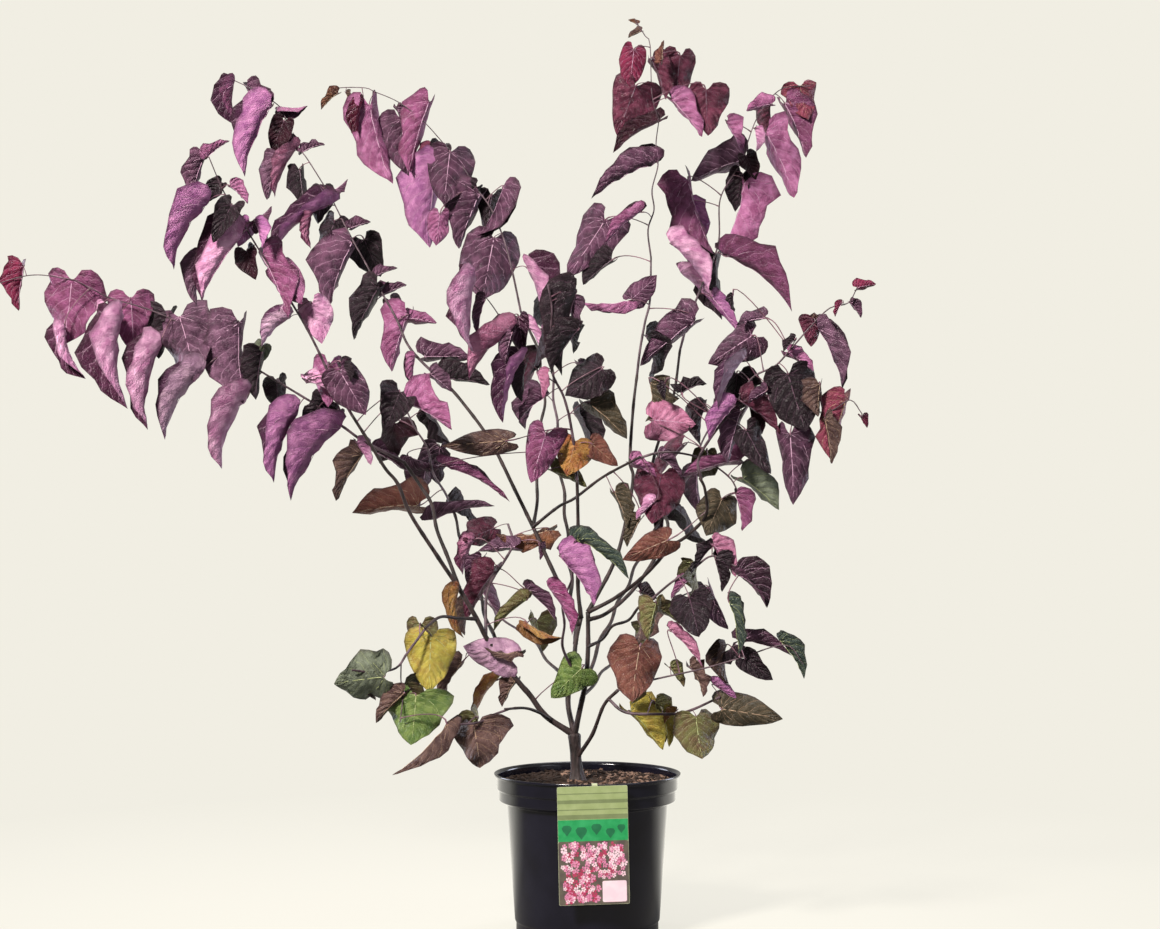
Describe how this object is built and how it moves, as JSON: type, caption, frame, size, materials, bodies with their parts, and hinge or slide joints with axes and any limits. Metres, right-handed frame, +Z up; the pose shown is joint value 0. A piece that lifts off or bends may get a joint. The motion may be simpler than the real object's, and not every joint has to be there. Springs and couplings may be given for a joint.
{
  "type": "redbud tree",
  "caption": "Young purple-leaved redbud with zigzag shoots and heart-shaped leaves, growing in a black plastic nursery pot with a hanging card label.",
  "frame": {"origin": "centre of the pot's flat underside", "axes": "+Z up, the plant's broad side and the label face -Y, the long left shoot runs towards -X"},
  "size_m": [1.319, 0.6105, 1.375],
  "materials": {
    "pot": "black moulded polypropylene, satin",
    "potting_mix": "coarse composted bark, damp",
    "label": "printed polypropylene card, semi-gloss",
    "bark": "thin grey-brown bark with pale breathing pores",
    "leaf_mauve": "matt leaf, purple-mauve",
    "leaf_plum": "matt leaf, dark plum",
    "leaf_olive": "matt older leaf, olive and brown"
  },
  "bodies": {
    "root": {"pot": "pot", "potting_mix": "potting_mix", "pot_label": "label", "trunk": "bark", "bough_back_centre": "bark", "bough_back_left": "bark", "bough_back_low_left": "bark", "bough_back_low_right": "bark", "bough_back_right": "bark", "bough_centre": "bark", "bough_far_left": "bark", "bough_inner": "bark", "bough_left": "bark", "bough_low_front": "bark", "bough_low_left": "bark", "bough_low_right": "bark", "bough_right": "bark", "bough_right_low": "bark", "bough_right_tall": "bark", "bough_tall": "bark", "bough_top_left": "bark", "bough_upper_left": "bark", "stem_centre": "bark", "stem_left": "bark", "stem_right": "bark", "leaves_back_centre": "leaf_plum", "leaves_back_left": "leaf_plum", "leaves_back_low_left": "leaf_olive", "leaves_back_low_right": "leaf_olive", "leaves_back_right": "leaf_plum", "leaves_centre": "leaf_mauve", "leaves_centre_left": "leaf_mauve", "leaves_centre_low": "leaf_mauve", "leaves_far_left": "leaf_mauve", "leaves_far_left_inner": "leaf_mauve", "leaves_far_left_tip": "leaf_mauve", "leaves_front": "leaf_mauve", "leaves_inner_left": "leaf_mauve", "leaves_inner_right": "leaf_mauve", "leaves_left": "leaf_mauve", "leaves_left_inner": "leaf_mauve", "leaves_low_front": "leaf_olive", "leaves_low_left": "leaf_olive", "leaves_low_left_inner": "leaf_olive", "leaves_low_right": "leaf_olive", "leaves_low_right_inner": "leaf_olive", "leaves_right": "leaf_mauve", "leaves_right_low": "leaf_olive", "leaves_right_outer": "leaf_mauve", "leaves_right_tall": "leaf_plum", "leaves_right_tall_tip": "leaf_plum", "leaves_right_tip": "leaf_mauve", "leaves_tall": "leaf_mauve", "leaves_tall_middle": "leaf_mauve", "leaves_tall_tip": "leaf_mauve", "leaves_top_left": "leaf_plum", "leaves_top_left_tip": "leaf_plum", "leaves_upper_left": "leaf_plum", "leaves_upper_left_tip": "leaf_plum"}
  },
  "joints": []
}
